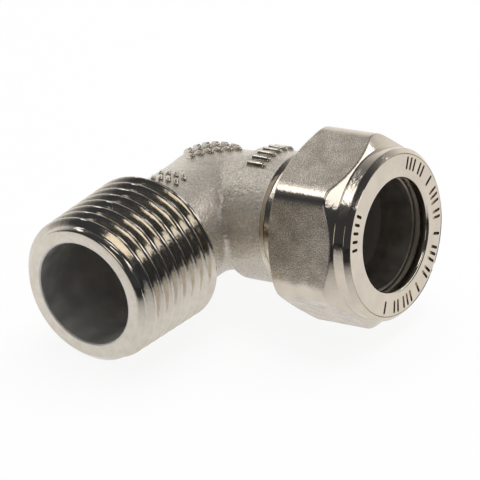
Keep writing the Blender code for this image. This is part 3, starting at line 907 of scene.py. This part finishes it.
def flag_material():
    """A black sheet that metal mirrors but the camera does not see, standing in for the dark, unlit room in
    front: painted shade in the reflections, which comes in gradually from its near edge.
    """
    material = bpy.data.materials.new("black_flag")
    material.use_nodes = True
    tree = material.node_tree
    tree.nodes.clear()
    place = add(tree, "ShaderNodeTexCoord", {}).outputs["Object"]
    across = add(tree, "ShaderNodeSeparateXYZ", {"Vector": place}).outputs["Y"]
    share = add(tree, "ShaderNodeMapRange", {"Value": across, "From Min": -FLAG_NEAR, "From Max": -FLAG_FULL})
    clear = add(tree, "ShaderNodeBsdfTransparent", {})
    cloth = add(tree, "ShaderNodeBsdfDiffuse", {"Color": (*FLAG_PAINTED_SHADE_COLOUR, 1.0)})
    mix = add(tree, "ShaderNodeMixShader", {0: share.outputs[0], 1: clear.outputs[0], 2: cloth.outputs[0]})
    add(tree, "ShaderNodeOutputMaterial", {"Surface": mix.outputs[0]})
    return material


def sheet(name, low, high, height, material):
    """A flat rectangle of the studio, level with the floor or just above it."""
    (x_low, y_low), (x_high, y_high) = low, high
    mesh = bpy.data.meshes.new(name)
    corners = [(x_low, y_low, 0), (x_high, y_low, 0), (x_high, y_high, 0), (x_low, y_high, 0)]
    mesh.from_pydata(corners, [], [(0, 1, 2, 3)])
    mesh.materials.append(material)
    item = bpy.data.objects.new(name, mesh)
    item.matrix_world = STUDIO @ Matrix.Translation((0, 0, height))
    bpy.context.scene.collection.objects.link(item)
    return item


def floor(pieces):
    """A pale sheet under the lowest points of the fitting, with a black one in front for metal to mirror:
    hidden from the camera, it is painted shade that stands in for the unlit room in front.
    """
    up = np.array(FLOOR_UP.normalized())
    drop = min((points_of(piece.data) @ up).min() for piece in pieces) - up @ np.array(CROSSING)
    sheet("floor", (-FLOOR_SIZE, -FLOOR_SIZE), (FLOOR_SIZE, FLOOR_SIZE), drop, floor_material())
    flag = sheet("black_flag", (-FLAG_FAR, -FLAG_FAR), (FLAG_FAR, -FLAG_NEAR), drop + FLAG_LIFT,
                 flag_material())
    flag.visible_camera = False
    flag.visible_diffuse = False
    flag.visible_shadow = False


def softbox(name, azimuth, elevation, width, height, radiance, colour=(1.0, 1.0, 1.0), mirrored=True):
    """A rectangular lamp that faces the fitting, with angles in degrees from the camera's side."""
    data = bpy.data.lights.new(name, "AREA")
    data.shape = "RECTANGLE"
    data.size = width
    data.size_y = height
    data.energy = radiance * math.pi * width * height
    data.color = colour
    item = bpy.data.objects.new(name, data)
    turn = aimed(math.radians(azimuth), math.radians(elevation))
    item.matrix_world = turn @ Matrix.Translation((0, 0, LIGHT_DISTANCE))
    item.visible_camera = False
    item.visible_glossy = mirrored
    bpy.context.scene.collection.objects.link(item)


def lamps():
    """Each lamp's side and height in degrees, then its width and height in metres and its radiance."""
    softbox("overhead_softbox", 150, 75, 0.50, 0.50, 3.8, mirrored=False)
    softbox("back_left_softbox", -116, 49, 0.52, 0.08, 2.0)
    softbox("right_softbox", 76, 39, 0.78, 0.13, 1.7)
    softbox("front_top_softbox", -6, 62, 0.20, 0.26, 2.0)
    softbox("front_left_reflector", -37, 16, 0.22, 0.24, 1.3, REFLECTOR_COLOUR)


def world():
    """A room that is bright behind the fitting, dim overhead and dark on the camera's side."""
    sky = bpy.data.worlds.new("studio")
    sky.use_nodes = True
    tree = sky.node_tree
    direction = add(tree, "ShaderNodeTexCoord", {}).outputs["Generated"]
    turn = STUDIO_FRAME.inverted().to_euler()
    place = add(tree, "ShaderNodeMapping", {"Vector": direction, "Rotation": turn}).outputs["Vector"]
    parts = add(tree, "ShaderNodeSeparateXYZ", {"Vector": place}).outputs
    start, end = ROOM_BACK
    behind = {"Value": parts["Y"], "From Min": start, "From Max": end}
    behind = add(tree, "ShaderNodeMapRange", behind, interpolation_type="SMOOTHSTEP").outputs["Result"]
    start, end = ROOM_TOP
    low = {"Value": parts["Z"], "From Min": start, "From Max": end, "To Min": 1.0, "To Max": ROOM_TOP_SHARE}
    low = add(tree, "ShaderNodeMapRange", low, interpolation_type="SMOOTHSTEP").outputs["Result"]
    share = add(tree, "ShaderNodeMath", {0: behind, 1: low}, operation="MULTIPLY").outputs[0]
    background = tree.nodes["Background"]
    tree.links.new(tint(tree, share, DARK_SIDE, BRIGHT_SIDE), background.inputs["Color"])
    bpy.context.scene.world = sky


# The male bore and the nut's bore get lighter colours as painted light on their dim insides
male_bore_painted_light = bored_metal("male_bore", ACROSS_MALE_ARM, *MALE_BORE_PAINTED_LIGHT_COLOURS)
socket_bored = bored_metal("socket_bore", ACROSS_NUT_ARM, *SOCKET_COLOURS)
nut_bore_painted_light = bored_metal("nut_bore", ACROSS_NUT_ARM, *NUT_BORE_PAINTED_LIGHT_COLOURS)
pieces = [
    dress(elbow(forged_metal(), turned_metal(), male_bore_painted_light, socket_bored), "elbow", "elbow_body"),
    dress(nut(nut_metal(), nut_bore_painted_light), "nut", "compression_nut"),
    dress(olive_ring(olive_metal()), "olive", "olive"),
]
camera()
floor(pieces)
lamps()
world()
bpy.context.scene.view_settings.view_transform = "Standard"
